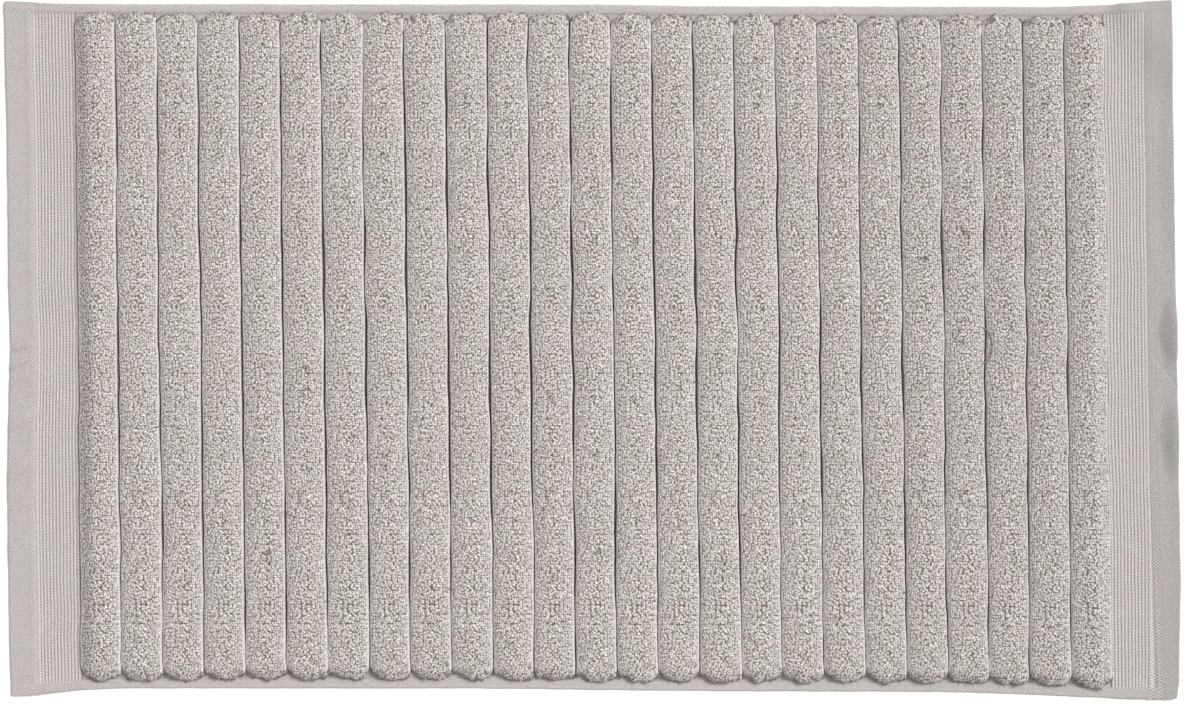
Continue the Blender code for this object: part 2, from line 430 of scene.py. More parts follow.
def makePileMaterial():
    material, tree, shader, spot = newCotton("pileCotton", pileLook)
    flat = node(tree, "UVMap", (-1100, -100), {}, uv_map="flat")
    colour = placeGroup(tree, "tint", (-850, 300), Place=spot.outputs["Object"],
                        Colour=pileLook["colour"], Patches=1.0)[0]
    fuzz = placeGroup(tree, "fuzz", (-850, 0), Place=spot.outputs["Object"],
                      Size=pileLook["fibre"])
    order = node(tree, "Attribute", (-1100, -300), {}, attribute_name="loopOrder")
    loops = placeGroup(tree, "loops", (-850, -150), Flat=flat.outputs["UV"], Order=order.outputs["Fac"])
    depth = node(tree, "Attribute", (-850, -450), {}, attribute_name="pileShadeAndTone")
    opened = node(tree, "Attribute", (-1100, -500), {}, attribute_name="pileOpen")
    share = node(tree, "MapRange", (-850, -650), {"Value": opened.outputs["Fac"], "To Min": 0.80,
                                                 "To Max": 1.06})
    # painted light: the painted shade between loops and the fibre's darker tone are mostly taken away down in
    # the grooves, standing in for light that bounces between the pressed loops
    grooveLight = node(tree, "Attribute", (-1100, -800), {}, attribute_name="grooveLightMask")
    darkeningKept = node(tree, "MapRange", (-850, -850), {"Value": grooveLight.outputs["Fac"], "To Min": 1.0,
                                                 "To Max": 0.1})
    shared = node(tree, "Math", (-680, -500), {0: share.outputs[0], 1: darkeningKept.outputs[0]},
                  operation="MULTIPLY")
    gapShade = node(tree, "Math", (-680, -300), {0: loops["GapShade"], 1: shared.outputs[0]}, operation="MULTIPLY")
    shade = node(tree, "Math", (-680, -100), {0: fuzz["Shade"], 1: darkeningKept.outputs[0]}, operation="MULTIPLY")
    # painted shade in the gaps between the loops, partly taken away again down in the grooves
    colour = darkened(tree, colour, gapShade.outputs[0], pileLook["gapShade"], (-500, 250))
    # painted shade in the pile's partings, on each rib's left flank away from the key light and at its foot,
    # and a random tone on loose loops
    colour = darkened(tree, colour, depth.outputs["Fac"], pileLook["depth"], (-400, 250))
    colour = darkened(tree, colour, loops["Tone"], pileLook["tone"], (-300, 250))
    colour = darkened(tree, colour, shade.outputs[0], pileLook["fuzz"], (-160, 250))
    tree.links.new(colour, shader.inputs["Base Color"])
    height = node(tree, "Math", (-400, -100), {0: fuzz["Height"], 1: 0.25, 2: loops["Height"]},
                  operation="MULTIPLY_ADD")
    bump = node(tree, "Bump", (-200, -150), {"Height": height.outputs[0], "Strength": pileLook["bump"],
                                            "Distance": 0.0010})
    tree.links.new(bump.outputs[0], shader.inputs["Normal"])
    return material


clothLook = {"colour": (0.60, 0.573, 0.561, 1), "roughness": 0.88, "sheen": 0.15, "gapShade": 0.42,
             "fuzz": 0.30, "fibre": 950.0, "bump": 0.6, "across": 0.0013, "along": 0.0012}
# the ends are lighter cotton, with painted shade in the grooves between cords and the plain cloth a little
# darkened
endLook = dict(clothLook, colour=(0.83, 0.793, 0.777, 1), groove=0.62, plain=0.42)


def makeClothMaterial(name, look, grooves=False):
    material, tree, shader, spot = newCotton(name, look)
    flat = node(tree, "UVMap", (-1100, -100), {}, uv_map="flat")
    colour = placeGroup(tree, "tint", (-850, 300), Place=spot.outputs["Object"],
                        Colour=look["colour"], Patches=0.8)[0]
    weave = placeGroup(tree, "weave", (-850, 50), Flat=flat.outputs["UV"], Across=look["across"],
                       Along=look["along"])
    fuzz = placeGroup(tree, "fuzz", (-850, -200), Place=spot.outputs["Object"],
                      Size=look["fibre"])
    # painted shade in the gaps between threads, then a random fibre tone
    colour = darkened(tree, colour, weave["GapShade"], look["gapShade"], (-500, 250))
    colour = darkened(tree, colour, fuzz["Shade"], look["fuzz"], (-330, 250))
    # painted shade in the grooves between cords, and a darker tone on the plain cloth
    if grooves:
        groove = node(tree, "Attribute", (-850, -450), {}, attribute_name="cordShadeAndTone")
        colour = darkened(tree, colour, groove.outputs["Fac"], look["groove"], (-160, 250))
    tree.links.new(colour, shader.inputs["Base Color"])
    height = node(tree, "Math", (-400, -100), {0: fuzz["Height"], 1: 0.4, 2: weave["Height"]},
                  operation="MULTIPLY_ADD")
    bump = node(tree, "Bump", (-200, -150), {"Height": height.outputs[0], "Strength": look["bump"],
                                            "Distance": 0.0004})
    tree.links.new(bump.outputs[0], shader.inputs["Normal"])
    return material


threadLook = {"colour": (0.50, 0.475, 0.458, 1), "roughness": 0.7, "sheen": 0.1, "fuzz": 0.15,
              "fibre": 2600.0}


def makeThreadMaterial():
    material, tree, shader, spot = newCotton("threadCotton", threadLook)
    colour = placeGroup(tree, "tint", (-850, 300), Place=spot.outputs["Object"],
                        Colour=threadLook["colour"], Patches=0.6)[0]
    fuzz = placeGroup(tree, "fuzz", (-850, 0), Place=spot.outputs["Object"],
                      Size=threadLook["fibre"])
    colour = darkened(tree, colour, fuzz["Shade"], threadLook["fuzz"], (-330, 250))
    tree.links.new(colour, shader.inputs["Base Color"])
    return material


materials = {
    "pile": makePileMaterial(),
    "ground": makeClothMaterial("groundCotton", clothLook),
    "hem": makeClothMaterial("hemCotton", endLook, grooves=True),
    "band": makeClothMaterial("bandCotton", endLook, grooves=True),
    "thread": makeThreadMaterial(),
}


def dress(piece, slotName):
    piece.data.materials.clear()
    piece.data.materials.append(materials[slotName])


print("materials made")

# one pile rib: a pillow of terry loops, in metres
pile = {
    "halfWidth": 0.0176, "endLength": 0.011, "endRound": 0.0050, "uneven": 0.0016, "rows": 117,
    "pressure": 4.0, "swell": 0.0006,
    # the last value on the next line darkens each rib's left flank as painted shade, away from the key light
    "loopHeight": 0.00017, "gapDepth": 0.0008, "lumps": 0.00035, "waves": 0.0005, "leftShade": 0.27,
    "outerSlope": 0.6, "overEnd": 0.0008, "endSteps": 6,
    "wideGroove": 0.0004, "raggedGroove": 0.0002,  # how much a groove opens, in broad and in short waves
    "pressed": 0.0039,  # narrower by this share for each degree that the groove turns
    # half of the rounded profile, from the foot to the middle, as shares of half width and height
    "profile": ((1.0, 0.0), (1.0, 0.30), (1.012, 0.64), (1.0, 0.775), (0.955, 0.87), (0.88, 0.925),
                (0.69, 0.955), (0.41, 0.984), (0.137, 1.0)),
}


def profileCurve():
    # the whole profile from foot to foot, with the distance along it from its middle
    half = np.array(pile["profile"])
    whole = np.concatenate([half * (-1, 1), half[::-1]])
    step = np.diff(whole, axis=0) * (pile["halfWidth"], ribTop - ribFoot)
    run = np.concatenate([[0], np.cumsum(np.hypot(step[:, 0], step[:, 1]))])
    return whole[:, 0], whole[:, 1], run - run[-1] / 2


def makePlainRib():
    # the pillow that every rib starts from, its foot on Z 0 and its middle at X 0
    u, z, across = profileCurve()
    columns, rows = len(u), pile["rows"]
    piece = addGrid("plainRib", columns, rows)
    height = ribTop - ribFoot - pile["swell"] * 0.5 - pile["loopHeight"] * 0.4
    half = ribHalf + pile["overEnd"]
    turn = np.linspace(0, math.pi / 2, pile["endSteps"] + 1)[1:]
    endIn = half - pile["endLength"] * (1 - np.sin(turn) ** 0.85)
    endRise = np.cos(turn) ** 0.75
    middleRows = rows - 2 * pile["endSteps"]
    middle = np.linspace(-(half - pile["endLength"]), half - pile["endLength"], middleRows)
    y = np.concatenate([-endIn[::-1], middle, endIn])
    rise = np.concatenate([endRise[::-1], np.ones(middleRows), endRise])
    grid = np.zeros((rows, columns, 3))
    grid[:, :, 0] = u * (pile["halfWidth"] - 0.003 * (1 - rise[:, None]) ** 1.5)
    grid[:, :, 1] = y[:, None]
    grid[:, :, 2] = z * rise[:, None] * height
    setPlaces(piece, grid.reshape(-1, 3))
    run = np.concatenate([[0], np.cumsum(np.hypot(np.diff(y), np.diff(rise) * height))])
    setFlatMap(piece, np.tile(across, rows), np.repeat(run - run[-1] / 2, columns))
    return piece


def puffUp(piece):
    # the cloth is blown up a little over its fixed foot, as loops push out
    rest = places(piece)
    fixed = piece.vertex_groups.new(name="foot")
    fixed.add([i for i, point in enumerate(rest) if point[2] < 0.0004], 1.0, "REPLACE")
    onlyThis(piece)
    cloth = piece.modifiers.new("cloth", "CLOTH")
    cloth.settings.quality = 6
    cloth.settings.mass = 0.1
    cloth.settings.tension_stiffness = cloth.settings.compression_stiffness = 12
    cloth.settings.vertex_group_mass = "foot"
    cloth.settings.use_pressure = True
    cloth.settings.uniform_pressure_force = pile["pressure"]
    cloth.settings.effector_weights.gravity = 0
    cloth.collision_settings.use_self_collision = False
    for step in range(1, 21):
        bpy.context.scene.frame_set(step)
    bpy.ops.object.modifier_apply(modifier=cloth.name)
    bpy.context.scene.frame_set(1)
    move = places(piece) - rest
    length = np.linalg.norm(move, axis=1, keepdims=True)
    print("pile puffed up by at most", round(float(length.max()) * 1000, 2), "mm before the cap")
    move *= np.minimum(1.0, pile["swell"] / np.maximum(length, 1e-9))
    move[:, 1] *= 0.3
    puffed = rest + move
    puffed[:, 0] *= pile["halfWidth"] / np.abs(puffed[:, 0]).max()
    setPlaces(piece, puffed)


def finishPlainRib(piece):
    applyModifier(piece, "SUBSURF", levels=2, render_levels=2)
    points = places(piece)
    border = points[:, 2] < 0.0002
    points[border, 2] = 0.0
    setPlaces(piece, points)
    onlyThis(piece)
    bpy.ops.object.mode_set(mode="EDIT")
    bpy.ops.mesh.select_all(action="DESELECT")
    bpy.ops.mesh.select_mode(type="EDGE")
    bpy.ops.mesh.select_non_manifold()
    bpy.ops.mesh.edge_face_add()
    bpy.ops.mesh.select_all(action="SELECT")
    bpy.ops.mesh.normals_make_consistent(inside=False)
    bpy.ops.object.mode_set(mode="OBJECT")
    bpy.ops.object.shade_smooth_by_angle(angle=math.radians(60))


def pressIn(piece, number):
    # neighbouring ribs press each other narrower as the mat rolls up, pile inwards; here the rib only gets
    # its own mesh, and the middle worked out is not used
    middle = layOut(np.array([[ribsStart + (number - 0.5) * ribPitch, 0.0, ribFoot]]))[0]
    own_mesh(piece)


def makeRib(number, plain):
    piece = copyOf(plain, f"pile_{number:02d}")
    across, along = flatMap(piece)
    points, out = places(piece), normals(piece)
    x, y = points[:, 0].copy(), points[:, 1].copy()
    seed = 100 + number
    rng = np.random.default_rng(seed)
    farX = x + number * ribPitch
    body = smooth(points[:, 2], 0.0003, 0.0035)
    crest = smooth(points[:, 2] / (ribTop - ribFoot), 0.55, 0.95)
    right = smooth(x, 0.003, 0.011)
    left = smooth(-x, -0.008, 0.016)
    # clumps of loops that part along the middle of the rib, deeper here and there
    clumps = softNoise(x, y, 0.0031, seed + 50) + 0.8 * softNoise(x, y, 0.0052, seed + 51)
    wander = 0.0045 * softNoise(y * 0, y, 0.050, seed + 52)
    line = np.exp(-((x - wander) / 0.006) ** 2)
    patch = softNoise(x, y, 0.022, seed + 53)
    opened = smooth(0.2 * clumps + 0.7 * line + 0.35 * patch, -0.6, 1.3) * crest
    parted = smooth(clumps + 0.8 * line + 0.5 * patch, 1.55, 2.4) * crest
    height = pile["loopHeight"] * clumps * (1 - 0.7 * left) * (0.5 + 0.5 * crest)
    height -= pile["gapDepth"] * parted
    height += pile["lumps"] * softNoise(farX, y, 0.012, 21) * crest
    height += pile["waves"] * softNoise(farX, y, 0.040, 22)
    points += out * (height * body)[:, None]
    # grooves of uneven width, which both neighbours make room for
    groove = np.where(x > 0, number, number - 1) * 0.31
    room = (pile["wideGroove"] * softNoise(groove, y, 0.055, 24)
            + pile["raggedGroove"] * softNoise(groove, y, 0.016, 25))
    room = np.maximum(room, 0.0)
    points[:, 0] -= np.sign(x) * room * smooth(np.abs(x), 0.004, 0.014)
    # rounded, ragged ends
    share = np.clip(np.abs(x) / pile["halfWidth"], 0, 1)
    nearEnd = smooth(np.abs(y), ribHalf - 0.030, ribHalf)
    ragged = (softNoise(x + number, np.sign(y), 0.006, 26)
              + 0.6 * softNoise(x + number, np.sign(y), 0.0025, 27))
    roundOff = pile["endRound"] * rng.uniform(0.75, 1.25) * np.abs(share - 0.12 * np.sign(x)) ** 2.4
    points[:, 1] -= np.sign(y) * nearEnd * (roundOff + pile["uneven"] * (ragged + 0.1))
    points[:, 2] = np.clip(points[:, 2], 0.0, ribTop - ribFoot + 0.0012)
    # the outer flanks of the first and last rib slope down to the bands
    if number in (1, ribCount):
        outward = x * (-1 if number == 1 else 1)
        points[:, 2] *= 1 - pile["outerSlope"] * smooth(outward, 0.002, pile["halfWidth"]) ** 1.3
    points[:, 0] += ribsStart + (number - 0.5) * ribPitch
    points[:, 2] += ribFoot
    setPlaces(piece, layOut(points))
    # painted shade: darker where the loops part, on the rib's left flank away from the key light, and at its
    # foot
    setValues(piece, "pileShadeAndTone", np.clip(parted + pile["leftShade"] * left, 0, 1) * body + 0.1 * (1 - body))
    setValues(piece, "pileOpen", opened * (1 - 0.7 * left))
    # where the painted light goes: at each rib's sides, down in the grooves
    setValues(piece, "grooveLightMask", smooth(np.abs(x), 0.0148, 0.0173) * body)
    setValues(piece, "loopOrder", np.clip(right + 0.5 * left, 0, 1))
    dress(piece, "pile")
    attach(piece, f"strip_{number:02d}")
    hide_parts(f"rib_{number:02d}")
    pressIn(piece, number)
    return piece


plainRib = makePlainRib()
puffUp(plainRib)
finishPlainRib(plainRib)
ribs = {number: makeRib(number, plainRib) for number in range(1, ribCount + 1)}
bpy.data.objects.remove(plainRib)
print("pile ribs made:", len(ribs), "of", len(ribs[1].data.polygons), "faces")

# loose loops that stand clear of the pile
curls = {"loop": 0.0011, "yarn": 0.00042, "atEnds": 26, "onCrest": 16, "endReach": 0.010, "turns": 7,
         "sides": 4}


def makePlainCurl():
    deselectAll()
    bpy.ops.mesh.primitive_torus_add(major_radius=curls["loop"], minor_radius=curls["yarn"],
                                     major_segments=curls["turns"], minor_segments=curls["sides"])
    piece = bpy.context.active_object
    piece.name = "plainCurl"
    bpy.ops.object.shade_smooth()
    return places(piece), [tuple(face.vertices) for face in piece.data.polygons], piece


def makeCurls(number, plain):
    points, faces, start = plain
    rng = np.random.default_rng(500 + number)
    rib = ribs[number]
    at, out = places(rib), normals(rib)
    along = at[:, 1]
    top, low = along.max(), along.min()
    high = at[:, 2] - ribFoot
    raised = (high > 0.002) & (out[:, 2] > 0.1)
    bothEnds = [np.flatnonzero(raised & (top - along < curls["endReach"])),
                np.flatnonzero(raised & (along - low < curls["endReach"]))]
    crest = np.flatnonzero(high > 0.8 * (ribTop - ribFoot))
    chosen = [rng.choice(group, curls["atEnds"], replace=False) for group in bothEnds]
    chosen.append(rng.choice(crest, curls["onCrest"], replace=False))
    shapes = []
    for index in np.concatenate(chosen):
        facing = Vector(out[index]).normalized()
        turn = Vector(rng.normal(size=3)).cross(facing).normalized()
        side = facing.cross(turn)
        size = rng.uniform(0.75, 1.15)
        squashed = rng.uniform(0.7, 1.0)
        shape = (points[:, :1] * np.array(turn) * size * squashed
                 + points[:, 1:2] * np.array(facing) * size + points[:, 2:3] * np.array(side) * size)
        shapes.append(shape + at[index] + np.array(facing) * curls["loop"] * 0.1)
    piece = repeated(f"curls_{number:02d}", shapes, faces)
    placed = np.concatenate(shapes)
    placed[:, 2] = np.clip(placed[:, 2], hemTop * 0.5, ribTop + 0.0018)
    setPlaces(piece, placed)
    setValues(piece, "pileShadeAndTone", np.repeat(rng.uniform(0, 0.5, len(shapes)), len(points)))
    faceOutwards(piece)
    dress(piece, "pile")
    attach(piece, f"strip_{number:02d}")
    pressIn(piece, number)


plainCurl = makePlainCurl()
for number in ribs:
    makeCurls(number, plainCurl)
bpy.data.objects.remove(plainCurl[2])
print("loose loops placed")

# the ground cloth with its folded side hems, and the corded bands
cloth = {"thickness": 0.0013, "middle": 0.00085, "hemMiddle": 0.00214, "foldRadius": 0.00070,
         "turnedIn": 0.0046, "rise": 0.0032, "bend": 0.0070}
cords = {"left": 14, "right": 13, "height": 0.00055, "beyond": 2, "fadeOut": (0.2835, 0.2860)}


def foldedPath(edge, inside, turnedIn, rise, flatStep, overSteps=3):
    # distances along the cloth, places and heights, from the flat cloth out to the edge and back under
    radius, top = cloth["foldRadius"], cloth["hemMiddle"]
    fold = edge - radius - cloth["thickness"] / 2
    innerEnd = fold - turnedIn
    flatEnd = innerEnd - rise
    flat = np.linspace(inside, flatEnd, max(2, int(abs(flatEnd - inside) / flatStep) + 1))
    slope = np.linspace(flatEnd, innerEnd, 6)[1:]
    slopeRise = cloth["middle"] + (top - cloth["middle"]) * smooth(slope, flatEnd, innerEnd)
    over = np.linspace(innerEnd, fold, overSteps + 1)[1:]
    turn = np.linspace(math.pi / 2, -math.pi / 2, 9)[1:]
    under = np.linspace(fold, innerEnd, 4)[1:]
    place = np.concatenate([flat, slope, over, fold + radius * np.cos(turn), under])
    height = np.concatenate([np.full(len(flat), cloth["middle"]), slopeRise, np.full(len(over), top),
                             top - radius + radius * np.sin(turn), np.full(len(under), top - 2 * radius)])
    run = inside + np.concatenate([[0], np.cumsum(np.hypot(np.diff(place), np.diff(height)))])
    return run, place, height


sideRun, sidePlace, sideHeight = foldedPath(matHalf, 0.0, cloth["turnedIn"], cloth["rise"], 0.012)
acrossRun = np.concatenate([-sideRun[:0:-1], sideRun])
acrossPlace = np.concatenate([-sidePlace[:0:-1], sidePlace])
acrossHeight = np.concatenate([sideHeight[:0:-1], sideHeight])


# slow waves of the flat ends, and the one corner that lifts off the floor
ends = {"waves": 0.0014, "waveSize": 0.050, "cornerLift": 0.0062, "liftStart": 0.507, "liftEnd": 0.545}


def endWaves(x, y):
    free = smooth(np.abs(x), ribsEnd, ribsEnd + 0.02)
    corner = smooth(0.76 * x + 0.65 * y, ends["liftStart"], ends["liftEnd"])
    waves = 0.5 + 0.5 * softNoise(x, y, ends["waveSize"], 61)
    return free * (ends["waves"] * waves + ends["cornerLift"] * corner)


def makeCloth(name, columns, relief=None):
    # a strip of the cloth at the given places along the mat, folded under at both sides
    piece = addGrid(name, len(columns), len(acrossRun))
    x = np.tile(columns, len(acrossRun))
    y = np.repeat(acrossPlace, len(columns))
    z = np.repeat(acrossHeight, len(columns))
    run = np.repeat(acrossRun, len(columns))
    if relief is not None:
        z = z + relief(x, y, run) + endWaves(x, y)
    turned = np.abs(run) > sideRun[-1] - cloth["turnedIn"]  # the part that is turned in
    frayed = softNoise(x, np.sign(y) * 0.1, 0.009, 31) * smooth(np.abs(y), 0.286, matHalf)
    y = y + np.sign(y) * 0.00025 * frayed
    z = z + 0.00012 * softNoise(x, y, 0.011, 32) * ~turned
    setPlaces(piece, layOut(np.stack([x, y, z], axis=1)))
    setFlatMap(piece, x, run)
    return piece


def thicken(piece):
    applyModifier(piece, "SOLIDIFY", thickness=cloth["thickness"], offset=0.0, use_even_offset=True)
    points = places(piece)
    points[:, 2] = np.maximum(points[:, 2], 0.00005)
    setPlaces(piece, points)
    faceOutwards(piece)
    bpy.ops.object.shade_smooth_by_angle(angle=math.radians(50))


def bendAt(piece, hinge, parent, child):
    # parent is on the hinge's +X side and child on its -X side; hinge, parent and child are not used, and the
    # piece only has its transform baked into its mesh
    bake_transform(piece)


def makeGround(number):
    # the bare cloth of one groove, from the middle of one rib to the middle of the next
    line = ribsStart + number * ribPitch
    share = np.linspace(-1, 1, 23)
    columns = line + np.sign(share) * np.abs(share) ** 1.7 * ribPitch / 2
    piece = makeCloth(f"cloth_{number:02d}", columns)
    thicken(piece)
    dress(piece, "ground")
    bendAt(piece, f"roll_{number:02d}", f"strip_{number + 1:02d}", f"strip_{number:02d}")
    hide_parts(f"ground_{number:02d}")


for number in range(1, ribCount):
    makeGround(number)
print("ground cloth made")


def cordHeight(x, first, pitch, count):
    # rounded cords with narrow grooves between them
    share = (x - first) / pitch
    inside = (share > -0.001) & (share < count + 0.001)
    phase = np.abs((share % 1.0) - 0.5) * 2
    return np.where(inside, np.sqrt(np.maximum(0.0, 1 - phase ** 2.4)), 0.35), inside


def makeBand(name, hinge, bodies, inner, hemLine, count, nodes):
    # from the middle of the last rib, over its groove, to a few cords past where the hem's piece begins
    pitch = abs(hemLine - inner) / count
    step = math.copysign(1, hemLine - inner)
    fractions = np.array((0.0, 0.10, 0.28, 0.5, 0.72, 0.90))
    cordStarts = inner + step * pitch * np.arange(count - cords["beyond"])
    corded = (cordStarts[:, None] + step * pitch * fractions).ravel()
    stripEnd = inner - step * ribPitch / 2
    flatPart = np.linspace(stripEnd, inner, 9)[:-1]
    last = inner + step * pitch * (count - cords["beyond"])
    columns = np.concatenate([flatPart, corded, [last]])
    if step < 0:
        columns = columns[::-1]

    def relief(x, y, run):
        height, inside = cordHeight(step * (x - inner), 0.0, pitch, count)
        uneven = 1 + 0.35 * softNoise(x, y, 0.006, 41)
        fade = 1 - smooth(np.abs(y), *cords["fadeOut"])
        return np.where(inside, cords["height"] * (height - 0.45) * uneven * fade, 0.0)

    piece = makeCloth(name, columns, relief)
    x = np.tile(columns, len(acrossRun))
    height, inside = cordHeight(step * (x - inner), 0.0, pitch, count)
    fade = 1 - smooth(np.abs(np.repeat(acrossPlace, len(columns))), *cords["fadeOut"])
    phase = np.abs(((step * (x - inner) / pitch) % 1.0) - 0.5) * 2
    # painted shade in the grooves between cords; the plain cloth gets a fixed darker tone
    setValues(piece, "cordShadeAndTone", np.where(inside, smooth(phase, 0.15, 0.9), 0) * fade
              + endLook["plain"] * (1 - inside * fade))
    thicken(piece)
    dress(piece, "band")
    bendAt(piece, hinge, *bodies)
    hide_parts(*nodes)
    return last, pitch


leftLast, leftPitch = makeBand("band_cloth_left", "roll_band", ("strip_01", "left_band"), ribsStart,
                               leftHemLine, cords["left"], ["band_left"])
rightLast, rightPitch = makeBand(
    "band_cloth_right", f"roll_{ribCount:02d}", ("right_end", f"strip_{ribCount:02d}"), ribsEnd,
    rightHemLine, cords["right"], ["band_right", f"ground_{ribCount:02d}"])
print("bands made")

# the end hems, folded under, with their puckers and bulges
hems = {"rise": 0.0050, "fade": 0.85, "corner": 0.0004, "cornerRound": 0.0028, "overSteps": 14,
        # place along the hem, fall towards the mat's end, width and height of each pucker
        "puckers": ((0.0045, -0.0075, 0.0024, 0.0026), (-0.0075, -0.0105, 0.0028, 0.0024),
                    (-0.0215, -0.0080, 0.0032, 0.0018), (-0.058, -0.0120, 0.0046, 0.0021),
                    (-0.096, -0.0160, 0.0055, 0.0022), (-0.128, -0.0180, 0.0050, 0.0018),
                    (-0.160, -0.0180, 0.0060, 0.0018)),
        # middle, half length and height of the bulges along the right end
        "bulges": ((0.012, 0.036, 0.0074), (-0.078, 0.040, 0.0068), (0.150, 0.075, 0.0020)),
        # how far the right hem's inner edge slants towards the mat's end
        "slant": ((-0.29, 0.0100), (-0.24, 0.0055), (-0.17, 0.0010), (-0.10, 0.0), (0.29, 0.0)),
        "crease": 0.0007}


def hemPucker(side, x, y, depth):
    # depth runs from 0 at the hem's inner edge to 1 at the mat's end
    if side == "left":
        ridges = sum(height * np.exp(-((y - place - fall * depth) / width) ** 2)
                     for place, fall, width, height in hems["puckers"])
        return ridges * smooth(depth, 0.0, 0.3) * (1 - 0.6 * smooth(depth, 0.75, 1.0))
    # bulges with a steep inner flank, and a crease that runs in between them
    bulge = sum(height * np.maximum(0.0, 1 - ((y - middle) / half) ** 2) ** 1.5
                * smooth(depth, 0.15 + 0.35 * np.abs((y - middle) / half), 0.95)
                for middle, half, height in hems["bulges"])
    folded = np.exp(-((y + 0.036 - 0.03 * (1 - depth)) / 0.0022) ** 2) * smooth(depth, -0.1, 0.2)
    return bulge - hems["crease"] * folded


def makeHem(side, first, body, hemLine, pitch, count):
    step = -1 if side == "left" else 1
    turnedIn = matEnd - cloth["foldRadius"] - cloth["thickness"] / 2 - abs(hemLine) - 0.0010
    run, place, height = foldedPath(matEnd, abs(first), turnedIn, hems["rise"], 0.00048, hems["overSteps"])
    rows = np.concatenate([np.linspace(-matHalf, -0.279, 16), np.linspace(-0.279, -0.16, 26)[1:],
                           np.linspace(-0.16, 0.07, 130)[1:], np.linspace(0.07, 0.279, 42)[1:-1],
                           np.linspace(0.279, matHalf, 16)])
    columns = len(place)
    piece = addGrid(f"hem_cloth_{side}", columns, len(rows))
    x = np.tile(place, len(rows))
    z = np.tile(height, len(rows))
    flatRun = np.tile(run, len(rows))
    y = np.repeat(rows, columns)
    under = flatRun > run[-1] - turnedIn * 1.02
    nearSide = smooth(np.abs(y), 0.2830, 0.2862)
    # the side hem carries on under the end hem, so the cloth is already raised there
    lifted = cloth["middle"] + (cloth["hemMiddle"] - cloth["middle"]) * nearSide
    onFlat = flatRun < run[-1] - turnedIn - math.pi * cloth["foldRadius"] + 0.00001
    z = np.where(onFlat, np.maximum(z, lifted), z)
    spread = 1 + (abs(hemLine) - abs(first) - 0.0002) / turnedIn * smooth(np.abs(y), 0.2850, 0.2866)
    fold = matEnd - cloth["foldRadius"] - cloth["thickness"] / 2
    x = np.where(under, fold - (fold - x) * spread, x)
    # cords of the band that run on to the hem line
    cordUp, inside = cordHeight(x - abs(first), 0.0, pitch, count)
    raised = smooth(x, abs(hemLine) - hems["rise"] * 0.9, abs(hemLine) - 0.0004)
    flatShare = (1 - raised) * ~under * hems["fade"]
    corded = flatShare * inside * (1 - smooth(np.abs(y), *cords["fadeOut"]))
    z = z + cords["height"] * (cordUp - 0.45) * corded
    depth = np.clip((x - abs(hemLine)) / (matEnd - abs(hemLine)), 0, 1)
    onTop = smooth(z, cloth["middle"] + 0.0008, cloth["hemMiddle"])
    pucker = hemPucker(side, x, y, depth)
    z = z + np.maximum(pucker, -0.0006) * onTop
    z = z + (hems["corner"] * smooth(np.abs(y), 0.2845, 0.2860) * smooth(depth, 0.0, 0.1)
             + 0.00015 * softNoise(x, y, 0.010, 51) + 0.00010 * softNoise(x, y, 0.0045, 52)) * onTop
    # corners rounded in plan, and edges that are not ruler straight
    cut = hems["cornerRound"]
    inX = np.clip((x - (matEnd - cut)) / cut, 0, 1)
    y = y * (1 - (1 - np.sqrt(1 - inX ** 2 * 0.75)) * cut * smooth(np.abs(y), 0.28, matHalf) / matHalf)
    x = x + 0.0003 * softNoise(y, x * 0, 0.012, 53) * depth * step
    if side == "right":
        share = np.interp(x, (abs(first), abs(hemLine), matEnd), (0.0, 1.0, 0.0)) * ~under
        x = x + follow(hems["slant"], y) * share
    z = z + endWaves(x * step, y)
    points = np.stack([x * step, y, z], axis=1)
    if step < 0:
        # the left hem's columns run the other way, so that its faces point up too
        points = points.reshape(len(rows), columns, 3)[:, ::-1].reshape(-1, 3)
        flatRun, corded, cordUp, y = [values.reshape(len(rows), columns)[:, ::-1].ravel()
                                      for values in (flatRun, corded, cordUp, y)]
    setPlaces(piece, layOut(points))
    setFlatMap(piece, flatRun, y)
    # painted shade in the grooves between cords; the plain cloth gets a fixed darker tone
    setValues(piece, "cordShadeAndTone",
              smooth(1 - cordUp, 0.05, 0.75) * corded + endLook["plain"] * (1 - corded))
    thicken(piece)
    dress(piece, "hem")
    if side == "left":
        bendAt(piece, "roll_hem", "left_band", "left_hem")
    else:
        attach(piece, body)
    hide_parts(f"hem_{side}")


makeHem("left", leftLast, "left_hem", leftHemLine, leftPitch, cords["beyond"])
makeHem("right", rightLast, "right_end", rightHemLine, rightPitch, cords["beyond"])
print("end hems made")

# rows of lockstitch
stitches = {"length": 0.0030, "width": 0.00075, "height": 0.0005, "pitch": 0.0034, "inset": 0.0030,
            "endInset": 0.005, "sideInset": 0.0049, "perStrip": 9}


def makePlainStitch():
    deselectAll()
    bpy.ops.mesh.primitive_uv_sphere_add(segments=6, ring_count=4, radius=0.5)
    piece = bpy.context.active_object
    shape = places(piece)
    faces = [tuple(face.vertices) for face in piece.data.polygons]
    bpy.data.objects.remove(piece)
    return shape, faces


def sewRow(name, spots, way, body):
    # one stitch at each spot, all lying on the hem along one way
    shape, faces = plainStitch
    side = np.array((-way[1], way[0], 0.0))
    up = np.array((0.0, 0.0, 1.0))
    stitch = (shape[:, 2:3] * np.array(way) * stitches["length"]
              + shape[:, :1] * side * stitches["width"] + shape[:, 1:2] * up * stitches["height"])
    piece = repeated(name, [stitch + spot for spot in spots], faces)
    faceOutwards(piece)
    dress(piece, "thread")
    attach(piece, body)
    return piece


